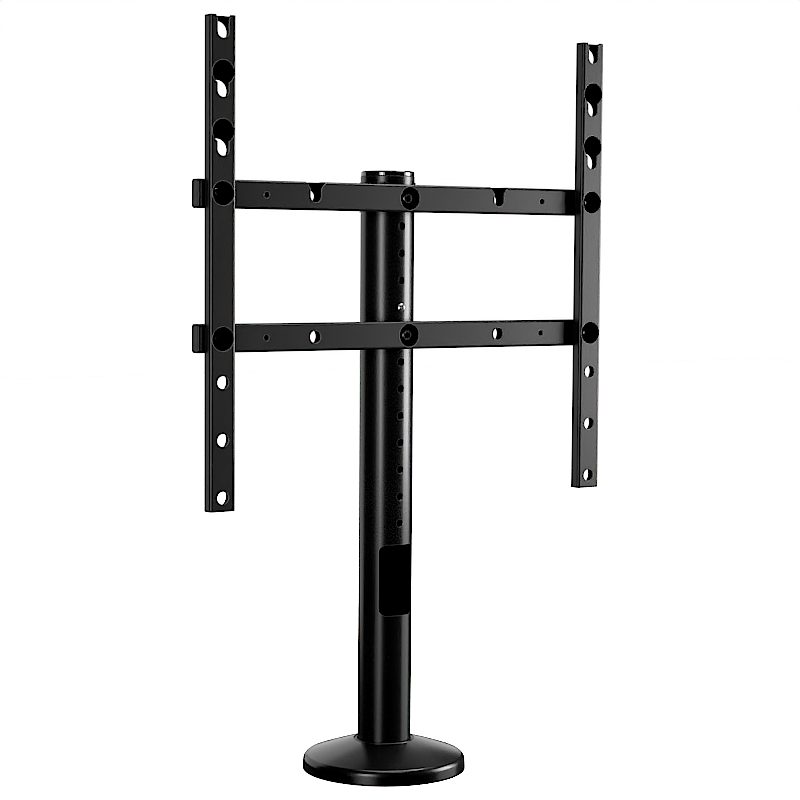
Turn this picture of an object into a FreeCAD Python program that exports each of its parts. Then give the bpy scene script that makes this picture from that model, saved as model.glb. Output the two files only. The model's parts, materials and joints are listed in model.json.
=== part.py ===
import FreeCAD, Part
import Sketcher
import math
import os

# Table-top swivel mount for a flat screen, in millimetres.
# Origin: on the column's axis, in the plane of the table. +Z up, +X along the two
# crossbars, -Y towards the screen. A round weighted base carries a short post; the
# perforated column turns on that post, and carries a frame of two crossbars and two
# slotted rails.

V = FreeCAD.Vector
doc = FreeCAD.newDocument("SwivelMount")
book = doc.addObject("Spreadsheet::Sheet", "Sizes")


class Size:
    """A number together with the sheet formula that gives it."""

    def __init__(self, value, text):
        self.value = float(value)
        self.text = text

    def __add__(self, other):
        other = size(other)
        return Size(self.value + other.value, "(%s + %s)" % (self.text, other.text))

    __radd__ = __add__

    def __sub__(self, other):
        other = size(other)
        return Size(self.value - other.value, "(%s - %s)" % (self.text, other.text))

    def __rsub__(self, other):
        return size(other) - self

    def __mul__(self, other):
        other = size(other)
        return Size(self.value * other.value, "(%s * %s)" % (self.text, other.text))

    __rmul__ = __mul__

    def __truediv__(self, other):
        other = size(other)
        return Size(self.value / other.value, "(%s / %s)" % (self.text, other.text))

    def __neg__(self):
        return Size(-self.value, "(0 - %s)" % self.text)

    def root(self):
        return Size(math.sqrt(self.value), "sqrt(%s)" % self.text)


def size(number):
    return number if isinstance(number, Size) else Size(number, "(%r)" % float(number))


SIZES = [
    # base
    ("PadRadius", 72.0, "rubber pad under the base"),
    ("PadHeight", 1.5, ""),
    ("PadBore", 16.0, ""),
    ("PadScrewHole", 4.0, ""),
    ("PlateRadius", 74.4, "steel base plate"),
    ("PlateHeight", 6.0, ""),
    ("PlateBore", 15.0, ""),
    ("ScrewCircle", 58.0, "four table screws lie on this radius"),
    ("ScrewHole", 3.3, ""),
    ("PostRadius", 20.0, "swivel post, welded to the plate"),
    ("PostWall", 4.0, ""),
    ("PostTop", 138.0, ""),
    ("CoverFoot", 0.3, "dished steel cover"),
    ("CoverRim", 76.4, ""),
    ("CoverSide", 76.2, ""),
    ("CoverSideTop", 8.0, ""),
    ("CoverEdgeRound", 7.3, "shoulder between the side and the dome"),
    ("CoverShoulder", 72.98, ""),
    ("CoverShoulderHeight", 14.07, ""),
    ("CoverDome", 500.0, ""),
    ("CoverNeck", 29.0, "foot of the small step round the column"),
    ("CoverNeckHeight", 28.2, ""),
    ("CoverCrest", 28.2, "outer edge of the groove"),
    ("CoverCrestRound", 0.8, ""),
    ("CoverGroove", 27.5, ""),
    ("CoverGrooveHeight", 26.9, ""),
    ("CoverLip", 27.1, "rolled lip inside the groove"),
    ("CoverLipHeight", 27.7, ""),
    ("CoverLipRound", 0.8, ""),
    ("CoverLipFoot", 24.5, ""),
    ("CoverInnerNeck", 28.3, ""),
    ("CoverInnerNeckHeight", 25.9, ""),
    ("CoverInnerDome", 498.5, ""),
    ("CoverInnerShoulder", 72.1, ""),
    ("CoverInnerShoulderHeight", 12.5, ""),
    ("CoverInnerEdgeRound", 5.5, ""),
    ("CoverInnerSideTop", 8.6, ""),
    # bearings on the post
    ("WasherBore", 20.3, ""),
    ("ThrustRadius", 27.0, ""),
    ("ThrustTop", 9.95, ""),
    ("BushFoot", 10.0, ""),
    ("BushFlange", 2.0, ""),
    ("BushBore", 20.05, ""),
    ("BushRadius", 22.98, ""),
    ("LowerBushTop", 34.0, ""),
    ("UpperBushFoot", 104.0, ""),
    ("UpperBushTop", 126.0, ""),
    ("FrictionRadius", 22.4, ""),
    ("FrictionFoot", 126.05, ""),
    ("FrictionTop", 127.95, ""),
    ("NutRadius", 22.5, ""),
    ("NutBore", 20.02, ""),
    ("NutFoot", 128.0, ""),
    ("NutTop", 136.0, ""),
    ("NutSlotWidth", 4.0, ""),
    ("NutSlotDepth", 3.0, ""),
    # column
    ("ColumnRadius", 25.0, ""),
    ("ColumnWall", 2.0, ""),
    ("ColumnFoot", 12.0, ""),
    ("ColumnTop", 555.0, ""),
    ("HoleStep", 25.0, "pitch of the height holes"),
    ("HoleCount", 13.0, ""),
    ("ColumnEdge", 0.4, "softened top edge"),
    ("ColumnHole", 3.1, ""),
    ("ColumnFlare", 0.7, "softened rim of a height hole"),
    ("WindowFoot", 148.0, "cable window"),
    ("WindowTop", 214.0, ""),
    ("WindowHalfWidth", 18.0, ""),
    ("WindowCorner", 6.0, ""),
    ("CapRadius", 24.85, "plastic end cap"),
    ("CapSideTop", 558.0, ""),
    ("CapRound", 1.6, ""),
    ("CapRise", 1.0, "height of the cap's low dome"),
    ("CapEdge", 0.4, "softened edge that meets the column"),
    ("CapSkirtRadius", 22.8, ""),
    ("CapSkirtWall", 2.0, ""),
    ("CapSkirtFoot", 545.0, ""),
    ("CapCeiling", 557.0, ""),
    # screen frame
    ("UpperBar", 534.0, "height of the upper crossbar, on the top column hole"),
    ("LowerBar", 409.0, "five column holes below"),
    ("BarHalfLength", 217.5, ""),
    ("TubeWidth", 25.0, ""),
    ("TubeDepth", 12.7, ""),
    ("TubeWall", 1.5, ""),
    ("TubeCorner", 2.6, ""),
    ("TubeInnerCorner", 1.1, ""),
    ("BarRear", 26.0, "distance of the bar's rear face in front of the column axis"),
    ("CutDepth", 1.7, "cuts through one wall only"),
    ("EdgeRound", 0.4, "softened edge of every punched hole"),
    ("AccessHole", 10.4, ""),
    ("RailSpot", 200.0, "rails stand this far from the middle"),
    ("SpareSpot", 150.0, ""),
    ("NotchSpot", 100.0, ""),
    ("TappedHole", 3.0, ""),
    ("SpareHole", 2.6, ""),
    ("BarScreenHole", 5.5, ""),
    ("BarRearHole", 5.0, "rear holes of the upper crossbar"),
    ("BarRearWide", 7.5, "rear holes of the lower crossbar"),
    ("ClearHole", 3.3, ""),
    ("NotchFunnelFoot", 6.3, ""),
    ("NotchFunnelTop", 11.8, ""),
    ("NotchMouth", 9.2, ""),
    ("RailFoot", 259.5, ""),
    ("RailTop", 685.5, ""),
    ("SeatTop", 671.5, "three hooking seats, 50 apart"),
    ("SeatMiddle", 621.5, ""),
    ("SeatLow", 571.5, ""),
    ("PlainHigh", 371.5, "three plain holes, 50 apart"),
    ("PlainMiddle", 321.5, ""),
    ("PlainLow", 271.5, ""),
    ("SeatRadius", 5.5, ""),
    ("KeyholeRise", 15.5, "keyhole circle above its seat"),
    ("MouthChamferWidth", 1.5, ""),
    ("MouthChamferHeight", 3.5, ""),
    ("RearHole", 9.6, ""),
    ("PlugLength", 10.0, "part of an end plug inside the tube"),
    ("PlugHead", 2.5, "part of an end plug outside the tube"),
    ("PlugRound", 1.2, ""),
    ("PlugGap", 0.05, ""),
    # clamps and fasteners
    ("SaddleHalfWidth", 21.0, ""),
    ("SaddleBack", 15.0, ""),
    ("SaddleBore", 25.05, ""),
    ("SaddleHole", 3.5, ""),
    ("StrapRadius", 25.95, "band of the upper saddle, round the back of the column"),
    ("EarRise", 2.6, ""),
    ("EarFlat", 3.0, ""),
    ("EarEnd", 11.0, ""),
    ("EarEndRise", 0.9, ""),
    ("StripHalfWidth", 8.0, ""),
    ("StripFront", 21.5, ""),
    ("StripThickness", 6.0, ""),
    ("StripFoot", 397.5, ""),
    ("StripTop", 542.5, ""),
    ("StripScrewSpot", 434.0, ""),
    ("StripScrewTapped", 2.5, ""),
    ("ShankRadius", 2.95, "M6 shank"),
    ("SmallShank", 2.45, "M5 shank"),
    ("CapHeadRadius", 5.0, ""),
    ("CapHeadHeight", 6.0, ""),
    ("CapHeadRound", 0.5, ""),
    ("CapHexRadius", 2.887, "5 mm hex across corners, halved"),
    ("CapHexDepth", 3.0, ""),
    ("CentreWasherRadius", 6.0, ""),
    ("CentreWasherBore", 3.2, ""),
    ("CentreWasherHeight", 1.6, ""),
    ("CentreShankEnd", 13.1, ""),
    ("ButtonRadius", 5.25, "M6 button head"),
    ("ButtonHeight", 3.3, ""),
    ("ButtonDome", 6.454, ""),
    ("ButtonHexRadius", 2.309, "4 mm hex"),
    ("ButtonHexDepth", 2.0, ""),
    ("RailShankEnd", 29.5, ""),
    ("ScrewRadius", 4.0, "M5 low head"),
    ("ScrewHeight", 2.4, ""),
    ("ScrewDome", 4.9, ""),
    ("ScrewHexRadius", 1.732, "3 mm hex"),
    ("ScrewHexDepth", 1.4, ""),
    ("ScrewShankEnd", 13.0, ""),
]

S = {}
for row, (name, number, note) in enumerate(SIZES, start=1):
    book.set("A%d" % row, name)
    book.set("B%d" % row, str(number))
    if note:
        book.set("C%d" % row, note)
    book.setAlias("B%d" % row, name)
    S[name] = Size(number, "Sizes." + name)
doc.recompute()

ZERO = size(0.0)


# ---------------------------------------------------------------- sketch helpers

def new_body(label):
    body = doc.addObject("PartDesign::Body", label)
    body.Label = label
    return body


def new_sketch(body, name, role, offset=None):
    """A sketch on one of the body's own origin planes, moved along its normal."""
    plane = [o for o in body.Origin.OriginFeatures if o.Role == role][0]
    sk = body.newObject("Sketcher::SketchObject", name)
    sk.AttachmentSupport = [(plane, "")]
    sk.MapMode = "FlatFace"
    if offset is not None:
        offset = size(offset)
        sk.AttachmentOffset = FreeCAD.Placement(V(0, 0, offset.value), FreeCAD.Rotation())
        sk.setExpression("AttachmentOffset.Base.z", offset.text)
    return sk


def bind(sk, constraint, formula):
    index = sk.addConstraint(constraint)
    sk.setExpression("Constraints[%d]" % index, formula)


def pin(sk, geo, pos, x, y):
    """Hold a point of the sketch at x, y."""
    x, y = size(x), size(y)
    for value, kind, axis in ((x, "DistanceX", -2), (y, "DistanceY", -1)):
        if abs(value.value) < 1e-9:
            sk.addConstraint(Sketcher.Constraint("PointOnObject", geo, pos, axis))
        elif value.value > 0:
            bind(sk, Sketcher.Constraint(kind, -1, 1, geo, pos, value.value), value.text)
        else:
            bind(sk, Sketcher.Constraint(kind, geo, pos, -1, 1, -value.value), (-value).text)


def circle(sk, x, y, radius):
    x, y, radius = size(x), size(y), size(radius)
    geo = sk.addGeometry(Part.Circle(V(x.value, y.value, 0), V(0, 0, 1), radius.value), False)
    pin(sk, geo, 3, x, y)
    bind(sk, Sketcher.Constraint("Radius", geo, radius.value), radius.text)


def outline(sk, points, arcs=None):
    """A closed outline. arcs maps an edge's number to (radius, side): side +1 turns left."""
    arcs = arcs or {}
    points = [(size(a), size(b)) for a, b in points]
    count = len(points)
    geos = []
    for i in range(count):
        (ax, ay), (bx, by) = points[i], points[(i + 1) % count]
        a, b = V(ax.value, ay.value, 0), V(bx.value, by.value, 0)
        if i in arcs:
            radius, side = size(arcs[i][0]), arcs[i][1]
            chord = b - a
            half = chord.Length / 2
            left = V(-chord.y, chord.x, 0) / chord.Length
            lift = math.sqrt(max(radius.value ** 2 - half ** 2, 0.0))
            centre = (a + b) / 2 + left * (lift * side)
            bulge = (a + b) / 2 - centre
            if bulge.Length < 1e-9:
                bulge = left * (-side)
            middle = centre + bulge / bulge.Length * radius.value
            arc = Part.Arc(a, middle, b)
            geo = sk.addGeometry(arc, False)
            # the arc is stored turning left, so its start is a or b
            first = (1, 2) if side > 0 else (2, 1)
        else:
            geo = sk.addGeometry(Part.LineSegment(a, b), False)
            first = (1, 2)
        geos.append((geo, first))
    for i in range(count):
        geo, (start, end) = geos[i]
        pin(sk, geo, start, *points[i])
        after, (next_start, _) = geos[(i + 1) % count]
        sk.addConstraint(Sketcher.Constraint("Coincident", geo, end, after, next_start))
        if i in arcs:
            radius = size(arcs[i][0])
            bind(sk, Sketcher.Constraint("Radius", geo, radius.value), radius.text)


def rounded(sk, x0, x1, y0, y1, r):
    x0, x1, y0, y1, r = size(x0), size(x1), size(y0), size(y1), size(r)
    outline(sk, [(x0 + r, y0), (x1 - r, y0), (x1, y0 + r), (x1, y1 - r),
                 (x1 - r, y1), (x0 + r, y1), (x0, y1 - r), (x0, y0 + r)],
            {1: (r, 1), 3: (r, 1), 5: (r, 1), 7: (r, 1)})


def u_slot(sk, x, seat, top, r):
    """A slot with a half-round seat, open or running into a circle at its top."""
    x, seat, top, r = size(x), size(seat), size(top), size(r)
    outline(sk, [(x - r, seat), (x, seat - r), (x + r, seat), (x + r, top), (x - r, top)],
            {0: (r, 1), 1: (r, 1)})


def pad(body, name, sk, length, reversed_=False):
    f = body.newObject("PartDesign::Pad", name)
    f.Profile = sk
    f.setExpression("Length", size(length).text)
    f.Reversed = reversed_
    doc.recompute()
    body.Tip = f
    return f


def pocket(body, name, sk, depth, reversed_=False, taper=0):
    """A pocket that must take material away."""
    before = body.Tip.Shape.Volume
    f = body.newObject("PartDesign::Pocket", name)
    f.Profile = sk
    f.setExpression("Length", size(depth).text)
    f.Reversed = reversed_
    if taper:
        f.TaperAngle = taper
    doc.recompute()
    body.Tip = f
    if not f.Shape.Volume < before - 0.2:
        raise RuntimeError("%s cuts nothing" % name)
    return f


def turned(body, name, sk):
    f = body.newObject("PartDesign::Revolution", name)
    f.Profile = sk
    f.ReferenceAxis = (sk, ["V_Axis"])
    f.Angle = 360
    doc.recompute()
    body.Tip = f
    return f


def ring(label, low, high, outer, inner):
    """A plain tube or washer round the column's axis."""
    body = new_body(label)
    sk = new_sketch(body, label + "_section", "XY_Plane", low)
    circle(sk, 0, 0, outer)
    circle(sk, 0, 0, inner)
    pad(body, label + "_pad", sk, size(high) - low)
    return body


def around(body, name, feature, count):
    """Repeats a feature around the column's axis."""
    before = body.Tip.Shape.Volume
    f = body.newObject("PartDesign::PolarPattern", name)
    f.Originals = [feature]
    f.Axis = ([o for o in body.Origin.OriginFeatures if o.Role == "Z_Axis"][0], [""])
    f.Angle = 360
    f.Occurrences = count
    body.Tip = f
    doc.recompute()
    if not f.Shape.Volume < before - 0.5:
        raise RuntimeError("%s repeats nothing" % name)
    return f


def soften(body, name, radius, test):
    """Rounds the edges of the body's tip for which test says yes."""
    base = body.Tip
    chosen = []
    for index, edge in enumerate(base.Shape.Edges, start=1):
        first, last = edge.ParameterRange
        points = [edge.valueAt(first + (last - first) * k / 8.0) for k in range(9)]
        if test(edge, points):
            chosen.append("Edge%d" % index)
    if not chosen:
        raise RuntimeError("%s finds no edge" % name)
    f = body.newObject("PartDesign::Fillet", name)
    f.Base = (base, chosen)
    f.setExpression("Radius", size(radius).text)
    doc.recompute()
    body.Tip = f
    return f


def rims(y, border):
    """Edges of the openings in a flat wall facing -Y: in its plane, and not along its border."""
    def test(edge, points):
        return all(abs(p.y - y) < 1e-4 for p in points) and not all(border(p) for p in points)
    return test


# ---------------------------------------------------------------- solid helpers

TOWARDS_SCREEN = FreeCAD.Rotation(V(1, 0, 0), 90)


def prim(kind, name, x, y, z, **sizes):
    """A primitive whose own axis points towards -Y, with its foot at x, y, z."""
    o = doc.addObject(kind, name)
    o.Label = name
    o.Placement = FreeCAD.Placement(V(0, 0, 0), TOWARDS_SCREEN)
    for axis, value in (("x", x), ("y", y), ("z", z)):
        o.setExpression("Placement.Base." + axis, size(value).text)
    for key, value in sizes.items():
        if key == "Polygon":
            o.Polygon = value
        else:
            o.setExpression(key, size(value).text)
    return o


def join(kind, name, first, second):
    o = doc.addObject(kind, name)
    o.Label = name
    if kind in ("Part::MultiFuse", "Part::MultiCommon"):
        o.Shapes = [first, second]
    else:
        o.Base, o.Tool = first, second
    return o


def button_bolt(name, x, seat, z, head, height, dome, hexagon, depth, shank, end):
    """Domed head with a hex socket. seat and end are distances in front of the axis."""
    blank = prim("Part::Cylinder", name + "_blank", x, -size(seat), z, Radius=head, Height=height)
    ball = prim("Part::Sphere", name + "_ball", x, -(seat + height - dome), z, Radius=dome)
    crown = join("Part::MultiCommon", name + "_crown", blank, ball)
    stem = prim("Part::Cylinder", name + "_stem", x, -size(end), z, Radius=shank, Height=seat - end + 0.2)
    whole = join("Part::MultiFuse", name + "_whole", crown, stem)
    key = prim("Part::Prism", name + "_key", x, -(seat + height - depth), z,
               Polygon=6, Circumradius=hexagon, Height=depth + 1)
    return join("Part::Cut", name, whole, key)


def cap_bolt(name, z):
    """Cylindrical head with a hex socket, on a washer inside a crossbar."""
    seat = S["BarRear"] + S["TubeWall"] + S["CentreWasherHeight"]
    top = seat + S["CapHeadHeight"]
    head = prim("Part::Cylinder", name + "_head", 0, -seat, z,
                Radius=S["CapHeadRadius"], Height=S["CapHeadHeight"] - S["CapHeadRound"])
    edge = prim("Part::Cone", name + "_edge", 0, -(top - S["CapHeadRound"]), z,
                Radius1=S["CapHeadRadius"], Radius2=S["CapHeadRadius"] - S["CapHeadRound"], Height=S["CapHeadRound"])
    crown = join("Part::MultiFuse", name + "_crown", head, edge)
    stem = prim("Part::Cylinder", name + "_stem", 0, -S["CentreShankEnd"], z,
                Radius=S["ShankRadius"], Height=seat - S["CentreShankEnd"] + 0.2)
    whole = join("Part::MultiFuse", name + "_whole", crown, stem)
    key = prim("Part::Prism", name + "_key", 0, -(top - S["CapHexDepth"]), z,
               Polygon=6, Circumradius=S["CapHexRadius"], Height=S["CapHexDepth"] + 1)
    return join("Part::Cut", name, whole, key)


def group(label, members):
    o = doc.addObject("Part::Compound", label)
    o.Label = label
    o.Links = members
    return o


NODES = {}          # label: (object, number of solids)


def keep(obj, solids=1):
    NODES[obj.Label] = (obj, solids)
    return obj


# ---------------------------------------------------------------- base

# Rubber pad, the face that stands on the table.
b = new_body("base_pad")
sk = new_sketch(b, "base_pad_section", "XY_Plane")
circle(sk, 0, 0, S["PadRadius"])
circle(sk, 0, 0, S["PadBore"])
pad(b, "base_pad_pad", sk, S["PadHeight"])
sk = new_sketch(b, "base_pad_screw_hole", "XY_Plane", S["PadHeight"])
diagonal = S["ScrewCircle"] / size(2.0).root()
circle(sk, diagonal, diagonal, S["PadScrewHole"])
p = pocket(b, "base_pad_hole", sk, S["PadHeight"] + 1)
around(b, "base_pad_holes", p, 4)
keep(b)

# Steel plate: the ballast, with four countered table screws and the cable bore.
b = new_body("base_plate")
top = S["PadHeight"] + S["PlateHeight"]
sk = new_sketch(b, "base_plate_section", "XY_Plane", S["PadHeight"])
circle(sk, 0, 0, S["PlateRadius"])
circle(sk, 0, 0, S["PlateBore"])
pad(b, "base_plate_pad", sk, S["PlateHeight"])
sk = new_sketch(b, "base_plate_screw_hole", "XY_Plane", top)
circle(sk, diagonal, diagonal, S["ScrewHole"])
p = pocket(b, "base_plate_hole", sk, S["PlateHeight"] + 1)
around(b, "base_plate_holes", p, 4)
keep(b)

keep(ring("swivel_post", top, S["PostTop"], S["PostRadius"], S["PostRadius"] - S["PostWall"]))
keep(ring("thrust_washer", top, S["ThrustTop"], S["ThrustRadius"], S["WasherBore"]))
keep(ring("friction_washer", S["FrictionFoot"], S["FrictionTop"], S["FrictionRadius"], S["WasherBore"]))

# Ring nut that holds the column down on the post, with four spanner slots.
b = ring("post_nut", S["NutFoot"], S["NutTop"], S["NutRadius"], S["NutBore"])
sk = new_sketch(b, "post_nut_slot", "XY_Plane", S["NutTop"])
half = S["NutSlotWidth"] / 2
outline(sk, [(S["NutBore"] - 2, -half), (S["NutRadius"] + 1, -half),
             (S["NutRadius"] + 1, half), (S["NutBore"] - 2, half)])
p = pocket(b, "post_nut_cut", sk, S["NutSlotDepth"])
around(b, "post_nut_cuts", p, 4)
keep(b)

# Dished cover: a thin shell with a flat-sided rim, a shallow dome, a groove and a rolled lip.
b = new_body("base_cover")
sk = new_sketch(b, "base_cover_profile", "XZ_Plane")
lip = S["CoverLip"] - S["CoverLipRound"] * 2
outline(sk, [(S["CoverRim"], S["CoverFoot"]),
             (S["CoverSide"], S["CoverSideTop"]),
             (S["CoverShoulder"], S["CoverShoulderHeight"]),
             (S["CoverNeck"], S["CoverNeckHeight"]),
             (S["CoverCrest"], S["CoverNeckHeight"] - S["CoverCrestRound"]),
             (S["CoverGroove"], S["CoverGrooveHeight"]),
             (S["CoverLip"], S["CoverGrooveHeight"]),
             (S["CoverLip"], S["CoverLipHeight"]),
             (S["CoverLip"] - S["CoverLipRound"], S["CoverLipHeight"] + S["CoverLipRound"]),
             (lip, S["CoverLipHeight"]),
             (lip, S["CoverLipFoot"]),
             (S["CoverLip"], S["CoverLipFoot"]),
             (S["CoverInnerNeck"], S["CoverInnerNeckHeight"]),
             (S["CoverInnerShoulder"], S["CoverInnerShoulderHeight"]),
             (S["PlateRadius"], S["CoverInnerSideTop"]),
             (S["PlateRadius"], S["CoverFoot"])],
        {1: (S["CoverEdgeRound"], 1), 2: (S["CoverDome"], 1), 3: (S["CoverCrestRound"], 1),
         7: (S["CoverLipRound"], 1), 8: (S["CoverLipRound"], 1),
         12: (S["CoverInnerDome"], -1), 13: (S["CoverInnerEdgeRound"], -1)})
turned(b, "base_cover_shell", sk)
keep(b)

# ---------------------------------------------------------------- column

b = new_body("lower_bush")
sk = new_sketch(b, "lower_bush_profile", "XZ_Plane")
shoulder = S["BushFoot"] + S["BushFlange"]
outline(sk, [(S["BushBore"], S["BushFoot"]), (S["ColumnRadius"], S["BushFoot"]),
             (S["ColumnRadius"], shoulder), (S["BushRadius"], shoulder),
             (S["BushRadius"], S["LowerBushTop"]), (S["BushBore"], S["LowerBushTop"])])
turned(b, "lower_bush_turned", sk)
keep(b)
keep(ring("upper_bush", S["UpperBushFoot"], S["UpperBushTop"], S["BushRadius"], S["BushBore"]))

b = ring("column", S["ColumnFoot"], S["ColumnTop"], S["ColumnRadius"], S["ColumnRadius"] - S["ColumnWall"])
# One height hole with a flared rim, repeated downwards.
sk = new_sketch(b, "column_height_hole", "XZ_Plane", S["ColumnRadius"] + 1)
circle(sk, 0, S["UpperBar"], S["ColumnHole"])
drilled = pocket(b, "column_hole", sk, 8)
sk = new_sketch(b, "column_flare_circle", "XZ_Plane", S["ColumnRadius"])
circle(sk, 0, S["UpperBar"], S["ColumnHole"] + S["ColumnFlare"])
flared = pocket(b, "column_flare", sk, S["ColumnFlare"] + 0.3, taper=-40)
row = b.newObject("PartDesign::LinearPattern", "column_holes")
row.Originals = [drilled, flared]
row.Direction = ([o for o in b.Origin.OriginFeatures if o.Role == "Z_Axis"][0], [""])
row.Reversed = True
row.setExpression("Length", (S["HoleStep"] * (S["HoleCount"] - 1)).text)
row.setExpression("Occurrences", "Sizes.HoleCount")
b.Tip = row
doc.recompute()
# The cable window, in the front of the wall only.
sk = new_sketch(b, "column_window_outline", "XZ_Plane", S["ColumnRadius"] + 1)
rounded(sk, -S["WindowHalfWidth"], S["WindowHalfWidth"], S["WindowFoot"], S["WindowTop"], S["WindowCorner"])
pocket(b, "column_window", sk, 13)
soften(b, "column_top_edge", S["ColumnEdge"], lambda edge, points: all(
    abs(p.z - S["ColumnTop"].value) < 1e-4 and math.hypot(p.x, p.y) > S["ColumnRadius"].value - 1e-3 for p in points))
keep(b)

# Plastic cap: a flange that sits on the wall, a low dome, and a skirt that grips the bore.
# The dome's radius follows from its rim and its rise, so that its centre is on the axis.
b = new_body("column_cap")
dome_rim = S["CapRadius"] - S["CapRound"]
dome_foot = S["CapSideTop"] + S["CapRound"]
dome_radius = (dome_rim * dome_rim + S["CapRise"] * S["CapRise"]) / (S["CapRise"] * 2)
sk = new_sketch(b, "column_cap_profile", "XZ_Plane")
inner = S["CapSkirtRadius"] - S["CapSkirtWall"]
outline(sk, [(0, S["CapCeiling"]), (inner, S["CapCeiling"]), (inner, S["CapSkirtFoot"]),
             (S["CapSkirtRadius"], S["CapSkirtFoot"]), (S["CapSkirtRadius"], S["ColumnTop"]),
             (S["CapRadius"], S["ColumnTop"]), (S["CapRadius"], S["CapSideTop"]),
             (dome_rim, dome_foot), (0, dome_foot + S["CapRise"])],
        {6: (S["CapRound"], 1), 7: (dome_radius, 1)})
turned(b, "column_cap_turned", sk)
soften(b, "column_cap_edge", S["CapEdge"], lambda edge, points: all(
    abs(p.z - S["ColumnTop"].value) < 1e-4 and math.hypot(p.x, p.y) > S["CapRadius"].value - 1e-3 for p in points))
keep(b)

# Threaded strip inside the column: the frame's two bolts and its own small screw go into it.
b = new_body("nut_strip")
sk = new_sketch(b, "nut_strip_outline", "XZ_Plane", S["StripFront"])
outline(sk, [(-S["StripHalfWidth"], S["StripFoot"]), (S["StripHalfWidth"], S["StripFoot"]),
             (S["StripHalfWidth"], S["StripTop"]), (-S["StripHalfWidth"], S["StripTop"])])
circle(sk, 0, S["UpperBar"], S["TappedHole"])
circle(sk, 0, S["LowerBar"], S["TappedHole"])
circle(sk, 0, S["StripScrewSpot"], S["StripScrewTapped"])
pad(b, "nut_strip_pad", sk, S["StripThickness"], True)
keep(b)

keep(button_bolt("strip_screw", 0, S["ColumnRadius"], S["StripScrewSpot"], S["ScrewRadius"], S["ScrewHeight"],
                 S["ScrewDome"], S["ScrewHexRadius"], S["ScrewHexDepth"], S["SmallShank"], S["ScrewShankEnd"]))


# ---------------------------------------------------------------- screen frame

def saddle(label, height, ear):
    """Block with a round hollow that fits the column, behind a crossbar.

    The upper one has a band round the column and an ear, both a little higher than the bar.
    """
    body = new_body(label)
    low = height - S["TubeWidth"] / 2
    sketch = new_sketch(body, label + "_outline", "XY_Plane", low)
    outline(sketch, [(-S["SaddleHalfWidth"], -S["BarRear"]), (S["SaddleHalfWidth"], -S["BarRear"]),
                     (S["SaddleHalfWidth"], -S["SaddleBack"]), (-S["SaddleHalfWidth"], -S["SaddleBack"])])
    pad(body, label + "_block", sketch, S["TubeWidth"])
    if ear:
        left, up = -S["SaddleHalfWidth"], height + S["TubeWidth"] / 2
        sketch = new_sketch(body, label + "_ear_outline", "XZ_Plane", S["BarRear"])
        outline(sketch, [(left, up - 1), (left + S["EarEnd"], up - 1), (left + S["EarEnd"], up + S["EarEndRise"]),
                         (left + S["EarFlat"], up + S["EarRise"]), (left, up + S["EarRise"])])
        pad(body, label + "_ear", sketch, S["BarRear"] - S["SaddleBack"], True)
        sketch = new_sketch(body, label + "_band_circle", "XY_Plane", low)
        circle(sketch, 0, 0, S["StrapRadius"])
        pad(body, label + "_band", sketch, S["TubeWidth"] + S["EarRise"])
        # in front, only the ear stands above the bar
        sketch = new_sketch(body, label + "_front_outline", "XZ_Plane", S["BarRear"] + 1)
        outline(sketch, [(left + S["EarFlat"], up + S["EarRise"]), (left + S["EarEnd"], up + S["EarEndRise"]),
                         (left + S["EarEnd"], up), (S["SaddleHalfWidth"] + 10, up),
                         (S["SaddleHalfWidth"] + 10, up + 10), (left + S["EarFlat"], up + 10)])
        pocket(body, label + "_front_cut", sketch, S["BarRear"] + 1 - S["SaddleBack"])
    sketch = new_sketch(body, label + "_hollow_circle", "XY_Plane", height + S["TubeWidth"])
    circle(sketch, 0, 0, S["SaddleBore"])
    pocket(body, label + "_hollow", sketch, S["TubeWidth"] * 2)
    sketch = new_sketch(body, label + "_bolt_circle", "XZ_Plane", S["BarRear"] + 1)
    circle(sketch, 0, height, S["SaddleHole"])
    pocket(body, label + "_bolt_hole", sketch, 4)
    return body


keep(saddle("upper_saddle", S["UpperBar"], True))
keep(saddle("lower_saddle", S["LowerBar"], False))


# half width of the flat part of a tube's broad face
TUBE_FLAT = S["TubeWidth"].value / 2 - S["TubeCorner"].value


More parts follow.
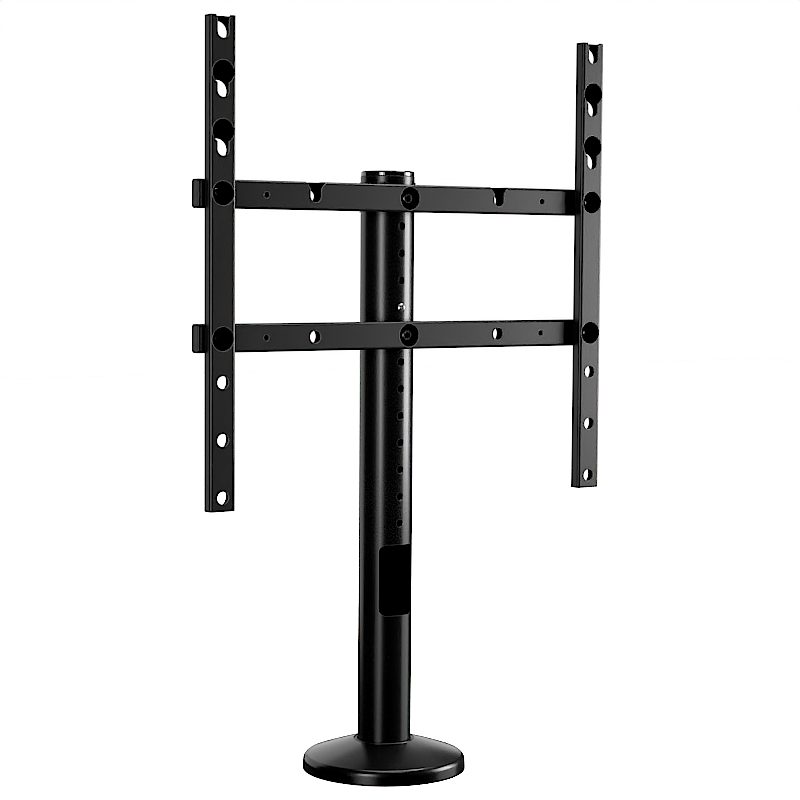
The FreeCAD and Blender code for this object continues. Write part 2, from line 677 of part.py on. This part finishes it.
def crossbar(label, height, notched):
    body = new_body(label)
    front, rear = S["BarRear"] + S["TubeDepth"], S["BarRear"]
    wall = S["TubeWall"]
    low, high = height - S["TubeWidth"] / 2, height + S["TubeWidth"] / 2
    length = S["BarHalfLength"] - S["PlugHead"]
    sketch = new_sketch(body, label + "_section", "YZ_Plane", -length)
    rounded(sketch, -front, -rear, low, high, S["TubeCorner"])
    rounded(sketch, -front + wall, -rear - wall, low + wall, high - wall, S["TubeInnerCorner"])
    pad(body, label + "_tube", sketch, length * 2)
    # holes in the front wall
    sketch = new_sketch(body, label + "_front_circles", "XZ_Plane", front)
    circle(sketch, 0, height, S["AccessHole"])
    for side in (-1, 1):
        circle(sketch, S["RailSpot"] * side, height, S["TappedHole"])
        circle(sketch, S["SpareSpot"] * side, height, S["SpareHole"])
        if not notched:
            circle(sketch, S["NotchSpot"] * side, height, S["BarScreenHole"])
    pocket(body, label + "_front_holes", sketch, S["CutDepth"])
    # holes in the rear wall
    sketch = new_sketch(body, label + "_rear_circles", "XZ_Plane", rear + wall)
    circle(sketch, 0, height, S["ClearHole"])
    for side in (-1, 1):
        circle(sketch, S["NotchSpot"] * side, height, S["BarRearHole"] if notched else S["BarRearWide"])
    pocket(body, label + "_rear_holes", sketch, S["CutDepth"])
    if notched:
        # funnel notches that drop over a screen's screws
        sketch = new_sketch(body, label + "_notch_outline", "XZ_Plane", front)
        for side in (-1, 1):
            x, r, m = S["NotchSpot"] * side, S["BarScreenHole"], S["NotchMouth"]
            foot, mouth = height + S["NotchFunnelFoot"], height + S["NotchFunnelTop"]
            outline(sketch, [(x - r, height), (x, height - r), (x + r, height), (x + r, foot),
                             (x + m, mouth), (x + m, high + 1), (x - m, high + 1), (x - m, mouth), (x - r, foot)],
                    {0: (r, 1), 1: (r, 1)})
        pocket(body, label + "_notches", sketch, wall + S["TubeInnerCorner"] + 0.2)
        sketch = new_sketch(body, label + "_notch_top_outline", "XZ_Plane", front)
        for side in (-1, 1):
            x, m = S["NotchSpot"] * side, S["NotchMouth"]
            outline(sketch, [(x - m, high - wall - 0.4), (x + m, high - wall - 0.4), (x + m, high + 1), (x - m, high + 1)])
        pocket(body, label + "_notch_tops", sketch, S["TubeDepth"] - wall)
    edge_z = TUBE_FLAT
    soften(body, label + "_rims", S["EdgeRound"], rims(-front.value, lambda p: (
        abs(abs(p.x) - length.value) < 1e-3 or abs(abs(p.z - height.value) - edge_z) < 1e-3)))
    return body


keep(crossbar("upper_crossbar", S["UpperBar"], True))
keep(crossbar("lower_crossbar", S["LowerBar"], False))

# Plastic plugs in the four ends of the crossbars: a head as wide as the tube, with a rounded
# outer edge, and a part that is pressed into the tube.
plugs = []
for word, height in (("upper", S["UpperBar"]), ("lower", S["LowerBar"])):
    for hand, side in (("left", -1), ("right", 1)):
        name = "%s_%s_plug" % (word, hand)
        b = new_body(name)
        joint = S["BarHalfLength"] - S["PlugHead"]
        low, high = height - S["TubeWidth"] / 2, height + S["TubeWidth"] / 2
        sk = new_sketch(b, name + "_head_section", "YZ_Plane", joint * side)
        rounded(sk, -(S["BarRear"] + S["TubeDepth"]), -S["BarRear"], low, high, S["TubeCorner"])
        pad(b, name + "_head", sk, S["PlugHead"], side < 0)
        soften(b, name + "_edge", S["PlugRound"], lambda edge, points: all(
            abs(abs(p.x) - S["BarHalfLength"].value) < 1e-4 for p in points))
        inset = S["TubeWall"] + S["PlugGap"]
        sk = new_sketch(b, name + "_section", "YZ_Plane", joint * side)
        rounded(sk, -(S["BarRear"] + S["TubeDepth"]) + inset, -S["BarRear"] - inset, low + inset, high - inset,
                S["TubeInnerCorner"])
        pad(b, name + "_pad", sk, S["PlugLength"], side > 0)
        plugs.append(b)
keep(group("crossbar_end_plugs", plugs), 4)


def rail(label, x):
    body = new_body(label)
    rear = S["BarRear"] + S["TubeDepth"]
    front = rear + S["TubeDepth"]
    wall, half = S["TubeWall"], S["TubeWidth"] / 2
    sketch = new_sketch(body, label + "_section", "XY_Plane", S["RailFoot"])
    rounded(sketch, x - half, x + half, -front, -rear, S["TubeCorner"])
    rounded(sketch, x - half + wall, x + half - wall, -front + wall, -rear - wall, S["TubeInnerCorner"])
    pad(body, label + "_tube", sketch, S["RailTop"] - S["RailFoot"])
    # front wall: keyhole circles, access circles and plain holes
    sketch = new_sketch(body, label + "_front_circles", "XZ_Plane", front)
    for height in (S["SeatMiddle"] + S["KeyholeRise"], S["SeatLow"] + S["KeyholeRise"], S["UpperBar"], S["LowerBar"]):
        circle(sketch, x, height, S["AccessHole"])
    for height in (S["PlainHigh"], S["PlainMiddle"], S["PlainLow"]):
        circle(sketch, x, height, S["SeatRadius"])
    pocket(body, label + "_front_holes", sketch, S["CutDepth"])
    sketch = new_sketch(body, label + "_slot_outlines", "XZ_Plane", front)
    for height in (S["SeatMiddle"], S["SeatLow"]):
        u_slot(sketch, x, height, height + S["KeyholeRise"], S["SeatRadius"])
    r, w = S["SeatRadius"], S["SeatRadius"] + S["MouthChamferWidth"]
    foot = S["RailTop"] - S["MouthChamferHeight"]
    outline(sketch, [(x - r, S["SeatTop"]), (x, S["SeatTop"] - r), (x + r, S["SeatTop"]), (x + r, foot),
                     (x + w, S["RailTop"]), (x + w, S["RailTop"] + 1), (x - w, S["RailTop"] + 1),
                     (x - w, S["RailTop"]), (x - r, foot)],
            {0: (r, 1), 1: (r, 1)})
    pocket(body, label + "_slots", sketch, S["CutDepth"])
    # rear wall: clearance circles behind the screws, and the bolt holes
    sketch = new_sketch(body, label + "_rear_circles", "XZ_Plane", rear + wall)
    for height in (S["SeatTop"], S["SeatMiddle"], S["SeatLow"], S["PlainHigh"], S["PlainMiddle"], S["PlainLow"]):
        circle(sketch, x, height, S["RearHole"])
    for height in (S["UpperBar"], S["LowerBar"]):
        circle(sketch, x, height, S["ClearHole"])
    pocket(body, label + "_rear_holes", sketch, S["CutDepth"])
    soften(body, label + "_rims", S["EdgeRound"], rims(-front.value, lambda p: (
        p.z < S["RailFoot"].value + 1e-3 or p.z > S["RailTop"].value - 1e-3
        or abs(abs(p.x - x.value) - TUBE_FLAT) < 1e-3)))
    return body


keep(rail("left_rail", -S["RailSpot"]))
keep(rail("right_rail", S["RailSpot"]))

# ---------------------------------------------------------------- fasteners

bolts = []
for word, height in (("upper", S["UpperBar"]), ("lower", S["LowerBar"])):
    for hand, x in (("left", -S["RailSpot"]), ("right", S["RailSpot"])):
        bolts.append(button_bolt("%s_%s_bolt" % (word, hand), x, S["BarRear"] + S["TubeDepth"] + S["TubeWall"], height,
                                 S["ButtonRadius"], S["ButtonHeight"], S["ButtonDome"], S["ButtonHexRadius"],
                                 S["ButtonHexDepth"], S["ShankRadius"], S["RailShankEnd"]))
keep(group("rail_bolts", bolts), 4)
keep(group("centre_bolts", [cap_bolt("upper_centre_bolt", S["UpperBar"]), cap_bolt("lower_centre_bolt", S["LowerBar"])]), 2)

washers = []
for word, height in (("upper", S["UpperBar"]), ("lower", S["LowerBar"])):
    name = word + "_centre_washer"
    disc = prim("Part::Cylinder", name + "_disc", 0, -(S["BarRear"] + S["TubeWall"]), height,
                Radius=S["CentreWasherRadius"], Height=S["CentreWasherHeight"])
    bore = prim("Part::Cylinder", name + "_bore", 0, -(S["BarRear"] + S["TubeWall"] - 1), height,
                Radius=S["CentreWasherBore"], Height=S["CentreWasherHeight"] + 2)
    washers.append(join("Part::Cut", name, disc, bore))
keep(group("centre_washers", washers), 2)

# ---------------------------------------------------------------- checks and files

doc.recompute()
faults = []
for obj in doc.Objects:
    if "Invalid" in obj.State or "Error" in obj.State:
        faults.append("%s: %s" % (obj.Label, obj.State))
for label, (obj, solids) in NODES.items():
    shape = obj.Shape
    if shape.isNull() or not shape.isValid():
        faults.append("%s: bad shape" % label)
    elif len(shape.Solids) != solids:
        faults.append("%s: %d solids, not %d" % (label, len(shape.Solids), solids))
if faults:
    raise RuntimeError("; ".join(faults))

os.makedirs("parts", exist_ok=True)
for label, (obj, solids) in NODES.items():
    obj.Shape.exportStep(os.path.join("parts", label + ".step"))
    box = obj.Shape.BoundBox
    print("%-20s %d  %10.1f mm3  x %.2f..%.2f  y %.2f..%.2f  z %.2f..%.2f" % (
        label, solids, obj.Shape.Volume, box.XMin, box.XMax, box.YMin, box.YMax, box.ZMin, box.ZMax))
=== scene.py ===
import json
import math

import bmesh
import bpy
from mathutils import Matrix, Vector

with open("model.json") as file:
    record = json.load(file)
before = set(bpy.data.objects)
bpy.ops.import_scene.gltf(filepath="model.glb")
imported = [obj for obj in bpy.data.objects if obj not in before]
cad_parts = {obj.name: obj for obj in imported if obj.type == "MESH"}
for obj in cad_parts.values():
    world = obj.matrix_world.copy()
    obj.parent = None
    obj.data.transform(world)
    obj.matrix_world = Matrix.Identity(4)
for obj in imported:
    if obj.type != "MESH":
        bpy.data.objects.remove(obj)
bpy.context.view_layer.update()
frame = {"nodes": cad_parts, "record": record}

scene = bpy.context.scene
nodes = frame["nodes"]


# ---------------------------------------------------------------- material helpers

class Material:
    """A material with a short way to add and join its nodes."""

    def __init__(self, name):
        self.data = bpy.data.materials.new(name)
        self.data.use_nodes = True
        self.tree = self.data.node_tree
        self.shader = self.tree.nodes["Principled BSDF"]
        self.place = self.add("ShaderNodeTexCoord").outputs["Object"]

    def add(self, kind, **values):
        node = self.tree.nodes.new(kind)
        for key, value in values.items():
            setattr(node, key, value)
        return node

    def join(self, source, target):
        self.tree.links.new(source, target)

    def fixed(self, **values):
        """Values that are the same all over, set on the shader itself."""
        for key, value in values.items():
            self.shader.inputs[key.replace("_", " ")].default_value = value

    def noise(self, scale, detail=3.0, rough=0.5, stretch=None, distortion=0.0):
        """Noise in the object's own space. scale is in waves per metre."""
        node = self.add("ShaderNodeTexNoise")
        node.inputs["Scale"].default_value = scale
        node.inputs["Detail"].default_value = detail
        node.inputs["Roughness"].default_value = rough
        node.inputs["Distortion"].default_value = distortion
        place = self.place
        if stretch:
            mapping = self.add("ShaderNodeMapping")
            mapping.inputs["Scale"].default_value = stretch
            self.join(place, mapping.inputs["Vector"])
            place = mapping.outputs["Vector"]
        self.join(place, node.inputs["Vector"])
        return node.outputs["Fac"]

    def cells(self, scale, feature="F1", smooth=None):
        node = self.add("ShaderNodeTexVoronoi", feature=feature)
        node.inputs["Scale"].default_value = scale
        if smooth is not None:
            node.inputs["Smoothness"].default_value = smooth
        self.join(self.place, node.inputs["Vector"])
        return node.outputs["Distance"]

    def spread(self, value, low, high, to_low=0.0, to_high=1.0, smooth=False):
        """Maps low..high of value to to_low..to_high, held at both ends."""
        node = self.add("ShaderNodeMapRange")
        node.clamp = True
        if smooth:
            node.interpolation_type = "SMOOTHSTEP"
        for key, number in (("From Min", low), ("From Max", high), ("To Min", to_low), ("To Max", to_high)):
            node.inputs[key].default_value = number
        self.join(value, node.inputs["Value"])
        return node.outputs["Result"]

    def maths(self, operation, first, second):
        node = self.add("ShaderNodeMath", operation=operation)
        for socket, value in zip(node.inputs, (first, second)):
            if isinstance(value, (int, float)):
                socket.default_value = value
            else:
                self.join(value, socket)
        return node.outputs[0]

    def blend(self, factor, first, second):
        """Mixes two colours."""
        node = self.add("ShaderNodeMix", data_type="RGBA")
        for socket, value in ((node.inputs["Factor"], factor), (node.inputs["A"], first), (node.inputs["B"], second)):
            if isinstance(value, tuple):
                socket.default_value = (*value, 1.0) if len(value) == 3 else value
            elif isinstance(value, (int, float)):
                socket.default_value = value
            else:
                self.join(value, socket)
        for socket in node.inputs:
            if socket.type == "RGBA" and socket.identifier in ("A_Color", "B_Color"):
                value = first if socket.identifier == "A_Color" else second
                if isinstance(value, tuple):
                    socket.default_value = (*value, 1.0) if len(value) == 3 else value
                else:
                    self.join(value, socket)
        return [o for o in node.outputs if o.type == "RGBA"][0]

    def colour(self, value):
        if isinstance(value, tuple):
            self.shader.inputs["Base Color"].default_value = (*value, 1.0)
        else:
            self.join(value, self.shader.inputs["Base Color"])

    def bumps(self, *layers):
        """Each layer is (height, depth in metres, strength)."""
        normal = None
        for height, depth, strength in layers:
            node = self.add("ShaderNodeBump")
            node.inputs["Strength"].default_value = strength
            node.inputs["Distance"].default_value = depth
            self.join(height, node.inputs["Height"])
            if normal is not None:
                self.join(normal, node.inputs["Normal"])
            normal = node.outputs["Normal"]
        self.join(normal, self.shader.inputs["Normal"])

    def span(self, value, middle, half):
        """1 where value is within half of middle."""
        gap = self.maths("ABSOLUTE", self.maths("SUBTRACT", value, middle), 0.0)
        return self.maths("LESS_THAN", gap, half)

    def tube_inside(self):
        """1 on the inner faces of the rails and crossbars."""
        split = self.add("ShaderNodeSeparateXYZ")
        self.join(self.place, split.inputs[0])
        x, y, z = split.outputs
        rails = self.maths("MULTIPLY", self.span(self.maths("ABSOLUTE", x, 0.0), 0.2, 0.0112),
                           self.span(y, -0.04507, 0.0050))
        away = self.maths("ABSOLUTE", self.maths("SUBTRACT", z, 0.4715), 0.0)
        bars = self.maths("MULTIPLY", self.span(away, 0.0625, 0.0112), self.span(y, -0.03237, 0.0050))
        return self.maths("MAXIMUM", rails, bars)

    def edge(self, width, low=0.02, high=0.25):
        """1 on sharp outer and inner edges, 0 on the flats."""
        bevel = self.add("ShaderNodeBevel")
        bevel.samples = 4
        bevel.inputs["Radius"].default_value = width
        flat = self.add("ShaderNodeNewGeometry").outputs["Normal"]
        dot = self.add("ShaderNodeVectorMath", operation="DOT_PRODUCT")
        self.join(bevel.outputs["Normal"], dot.inputs[0])
        self.join(flat, dot.inputs[1])
        turn = self.maths("SUBTRACT", 1.0, dot.outputs["Value"])
        return self.spread(turn, low, high)


def powder_coat(name, dark, light, rough, grain=1.0, tubes=False, highlight_colour=(0.300, 0.295, 0.290)):
    """Satin powder coat: soft orange peel under a fine grain, with a painted highlight in a paler colour along its
    edges.
    """
    m = Material(name)
    patches = m.noise(9.0, 2.0)
    specks = m.noise(5200.0, 1.0)
    peel = m.noise(430.0, 2.0, 0.55)
    grit = m.noise(1000.0, 1.0)
    fine = m.noise(2100.0, 2.0, 0.6)
    # the inner faces of the tubes are coloured much darker and duller than the coat, with little reflection
    inner = m.tube_inside() if tubes else 0.0
    # painted highlight: the rims of the punched holes are coloured paler, as if lit
    painted_rim_highlight = m.maths("MULTIPLY", m.edge(0.0012, 0.01, 0.12), m.spread(fine, 0.25, 0.6, 0.55, 1.0))
    m.colour(m.blend(inner, m.blend(painted_rim_highlight, m.blend(m.spread(specks, 0.35, 0.75), dark, light), highlight_colour),
                     m.blend(m.spread(patches, 0.3, 0.7), (0.0020, 0.0020, 0.0021), (0.0045, 0.0042, 0.0040))))
    coat = m.maths("ADD", m.spread(patches, 0.3, 0.7, rough - 0.025, rough + 0.025), m.spread(fine, 0.3, 0.7, -0.03, 0.03))
    m.join(m.maths("MAXIMUM", coat, m.maths("MULTIPLY", inner, 0.9)), m.shader.inputs["Roughness"])
    if tubes:
        m.join(m.spread(inner, 0.0, 1.0, 0.5, 0.08), m.shader.inputs["Specular IOR Level"])
    m.fixed(IOR=1.5)
    m.bumps((peel, 0.00010 * grain, 0.30), (grit, 0.00008 * grain, 0.5), (fine, 0.000035 * grain, 0.5))
    return m.data


def plastic(name, dark, light, rough, texture=600.0, depth=0.00004, spread=0.03, coat=0.0):
    m = Material(name)
    m.colour(m.blend(m.spread(m.noise(35.0, 3.0), 0.3, 0.7), dark, light))
    m.join(m.spread(m.noise(120.0, 3.0), 0.3, 0.7, rough - spread, rough + spread), m.shader.inputs["Roughness"])
    m.fixed(IOR=1.49, Coat_Weight=coat, Coat_Roughness=0.05, Coat_IOR=1.6)
    m.bumps((m.noise(60.0, 1.0), 0.0002, 0.12), (m.noise(texture, 2.0, 0.6), depth, 0.4))
    return m.data


def rubber(name):
    m = Material(name)
    m.colour(m.blend(m.spread(m.noise(800.0, 4.0), 0.35, 0.7), (0.012, 0.012, 0.012), (0.024, 0.024, 0.024)))
    m.join(m.spread(m.noise(90.0, 3.0), 0.3, 0.7, 0.72, 0.86), m.shader.inputs["Roughness"])
    m.bumps((m.cells(700.0), 0.00025, 0.5), (m.noise(3000.0, 2.0), 0.0001, 0.4))
    return m.data


def steel(name, dark, light, rough, grain=(1.0, 1.0, 40.0), lines=160.0, depth=0.00003):
    """Turned, rolled or plated steel: fine lines across the grain."""
    m = Material(name)
    streaks = m.noise(lines, 4.0, 0.6, stretch=grain)
    clouds = m.noise(55.0, 3.0)
    m.colour(m.blend(m.spread(streaks, 0.3, 0.7), dark, light))
    m.join(m.maths("ADD", m.spread(streaks, 0.3, 0.7, rough - 0.06, rough + 0.06),
                   m.spread(clouds, 0.35, 0.7, -0.04, 0.05)), m.shader.inputs["Roughness"])
    m.fixed(Metallic=1.0)
    m.bumps((streaks, depth, 0.35))
    return m.data


finish = {
    "powder_black": powder_coat("powder_black", (0.0080, 0.0078, 0.0077), (0.0150, 0.0146, 0.0143), 0.375, tubes=True),
    # the lacquers take a dimmer painted edge highlight
    "lacquer_black": powder_coat("lacquer_black", (0.0070, 0.0070, 0.0072), (0.0110, 0.0110, 0.0112), 0.25, 0.35, highlight_colour=(0.100, 0.100, 0.102)),
    # the cover is a darker copy of the lacquer: painted shade on the base's dome
    "cover_black": powder_coat("cover_black", (0.0055, 0.0055, 0.0057), (0.0090, 0.0090, 0.0092), 0.21, 0.32, highlight_colour=(0.100, 0.100, 0.102)),
    "cap_black": plastic("cap_black", (0.006, 0.006, 0.0062), (0.009, 0.009, 0.0092), 0.08, 300.0, 0.00001, 0.02, 1.0),
    "plug_black": plastic("plug_black", (0.010, 0.010, 0.0105), (0.017, 0.017, 0.0175), 0.42, 1400.0, 0.00008, 0.06),
    "saddle_black": plastic("saddle_black", (0.008, 0.008, 0.0082), (0.013, 0.013, 0.0132), 0.24, 1200.0, 0.00003, 0.04),
    "acetal_natural": plastic("acetal_natural", (0.66, 0.65, 0.60), (0.76, 0.75, 0.70), 0.42, 900.0, 0.00005, 0.05),
    "rubber_black": rubber("rubber_black"),
    "steel_turned": steel("steel_turned", (0.42, 0.42, 0.43), (0.60, 0.60, 0.60), 0.34),
    "steel_zinc": steel("steel_zinc", (0.48, 0.49, 0.50), (0.66, 0.67, 0.68), 0.34, (1.0, 1.0, 1.0), 420.0),
    "steel_dark": steel("steel_dark", (0.060, 0.060, 0.064), (0.110, 0.110, 0.115), 0.36, (1.0, 1.0, 1.0), 520.0),
    "screw_black": steel("screw_black", (0.110, 0.110, 0.113), (0.190, 0.190, 0.195), 0.22, (1.0, 1.0, 1.0), 900.0),
}
for entry in frame["record"]["subparts"]:
    o = nodes[entry["node"]]
    o.data.materials.clear()
    # the low cover is lacquered smoother than the column, and coloured darker than it as painted shade
    o.data.materials.append(finish["cover_black" if entry["node"] == "base_cover" else entry["material_slot"]])

# ---------------------------------------------------------------- floor

floor_mesh = bpy.data.meshes.new("floor")
bm = bmesh.new()
bmesh.ops.create_grid(bm, x_segments=8, y_segments=8, size=6.0)
bm.to_mesh(floor_mesh)
bm.free()
floor = bpy.data.objects.new("floor", floor_mesh)
scene.collection.objects.link(floor)
m = Material("floor_pale")
m.colour(m.blend(m.spread(m.noise(3.0, 3.0), 0.3, 0.7), (0.86, 0.86, 0.86), (0.88, 0.88, 0.88)))
m.join(m.spread(m.noise(40.0, 3.0), 0.3, 0.7, 0.85, 0.95), m.shader.inputs["Roughness"])
m.shader.inputs["Emission Color"].default_value = (1, 1, 1, 1)
# the sweep glows white away from the base; near the base its glow is dimmed, a painted shadow ring, which also lets
# the base's soft shadow show
reach = m.add("ShaderNodeVectorMath", operation="LENGTH")
m.join(m.place, reach.inputs[0])
m.join(m.spread(reach.outputs["Value"], 0.08, 0.40, 0.80, 1.05, smooth=True), m.shader.inputs["Emission Strength"])
floor_mesh.materials.append(m.data)
floor.visible_glossy = False
floor.visible_diffuse = False

# ---------------------------------------------------------------- camera

camera_data = bpy.data.cameras.new("camera")
camera = bpy.data.objects.new("camera", camera_data)
scene.collection.objects.link(camera)
camera_data.sensor_fit = "HORIZONTAL"
camera_data.sensor_width = 36.0
camera_data.lens = 2118.386 / 800 * 36.0
camera_data.clip_start, camera_data.clip_end = 0.05, 60.0
yaw, pitch, roll = (math.radians(a) for a in (-33.0974, -3.839, -0.3973))
turn = Matrix.Rotation(yaw, 4, "Z") @ Matrix.Rotation(pitch, 4, "X") @ Matrix.Rotation(roll, 4, "Y")
# the turn's columns are right, forward and up; a camera looks along its own -Z
right, forward, up = (turn.col[i].to_3d() for i in range(3))
stand = Matrix((( right.x, up.x, -forward.x, -1.06682),
                (right.y, up.y, -forward.y, -1.66025),
                (right.z, up.z, -forward.z, 0.47983),
                (0, 0, 0, 1)))
camera.matrix_world = stand
scene.camera = camera

# ---------------------------------------------------------------- light

def panel(name, azimuth, distance, low, high, width, radiance, sharp=math.pi):
    """An upright soft box that faces the column. azimuth is in degrees, from -Y towards +X."""
    a = math.radians(azimuth)
    data = bpy.data.lights.new(name, "AREA")
    data.shape = "RECTANGLE"
    data.size, data.size_y = width, high - low
    data.spread = sharp
    data.energy = radiance * math.pi * width * (high - low)
    o = bpy.data.objects.new(name, data)
    scene.collection.objects.link(o)
    o.location = (math.sin(a) * distance, -math.cos(a) * distance, (low + high) / 2)
    o.rotation_euler = (Vector((0, 0, o.location.z)) - o.location).to_track_quat("-Z", "Y").to_euler()
    o.visible_camera = False
    return o


panel("key_right", 64.5, 1.2, 0.16, 0.80, 0.50, 8.4)
panel("key_right_wide", 66, 1.25, 0.14, 0.82, 1.00, 4.8)
panel("key_right_low", 67, 1.25, -0.30, 0.14, 0.90, 1.7)
panel("strip_left", -58, 1.2, 0.14, 0.80, 0.24, 4.8)
panel("strip_left_wide", -57.5, 1.25, 0.12, 0.82, 0.56, 3.3)
panel("strip_left_low", -58, 1.25, -0.30, 0.12, 0.30, 1.1)
panel("strip_left_low_wide", -58, 1.3, -0.30, 0.12, 0.64, 1.1)
panel("rim_left", -163, 1.2, -0.10, 0.95, 1.00, 0.9)
panel("rim_right", 152, 1.2, -0.05, 0.92, 0.84, 1.05)
panel("back_high_left", 178, 1.3, 0.95, 1.70, 1.50, 0.36)
panel("back_high_right", 118, 1.3, 0.95, 1.70, 1.30, 0.20)
top = panel("top_front", 0, 0.001, 0.0, 0.8, 0.8, 2.2)
top.location = (0.1, -0.9, 2.2)
top.rotation_euler = (0, 0, 0)
top = panel("top_right", 0, 0.001, 0.0, 0.8, 0.8, 12.0)
top.location = (1.0, -0.1, 2.2)
top.rotation_euler = (0, 0, 0)
top = panel("top_middle", 0, 0.001, 0.0, 1.0, 1.0, 4.0)
top.location = (-0.1, -0.1, 2.2)
top.rotation_euler = (0, 0, 0)

world = bpy.data.worlds.new("studio")
scene.world = world
world.use_nodes = True
tree = world.node_tree
for n in list(tree.nodes):
    tree.nodes.remove(n)
out = tree.nodes.new("ShaderNodeOutputWorld")
mix = tree.nodes.new("ShaderNodeMixShader")
path = tree.nodes.new("ShaderNodeLightPath")
white = tree.nodes.new("ShaderNodeBackground")
dim = tree.nodes.new("ShaderNodeBackground")
white.inputs["Color"].default_value = (1, 1, 1, 1)
white.inputs["Strength"].default_value = 1.0
dim.inputs["Color"].default_value = (1, 1, 1, 1)
dim.inputs["Strength"].default_value = 0.045
tree.links.new(path.outputs["Is Camera Ray"], mix.inputs["Fac"])
tree.links.new(dim.outputs[0], mix.inputs[1])
tree.links.new(white.outputs[0], mix.inputs[2])
tree.links.new(mix.outputs[0], out.inputs["Surface"])

scene.view_settings.view_transform = "Standard"
scene.view_settings.look = "None"
scene.view_settings.exposure = 0.0
scene.view_settings.gamma = 1.0
# deep blacks: a slight lift of the black point before display
scene.view_settings.use_curve_mapping = True
scene.view_settings.curve_mapping.black_level = (0.006, 0.006, 0.006)
scene.view_settings.curve_mapping.update()

# the photograph is crisp: a light sharpening after the render
scene.use_nodes = True
tree = scene.node_tree
for n in list(tree.nodes):
    tree.nodes.remove(n)
layers = tree.nodes.new("CompositorNodeRLayers")
crisp = tree.nodes.new("CompositorNodeFilter")
crisp.filter_type = "SHARPEN"
crisp.inputs["Fac"].default_value = 0.11
out = tree.nodes.new("CompositorNodeComposite")
tree.links.new(layers.outputs["Image"], crisp.inputs["Image"])
tree.links.new(crisp.outputs["Image"], out.inputs["Image"])
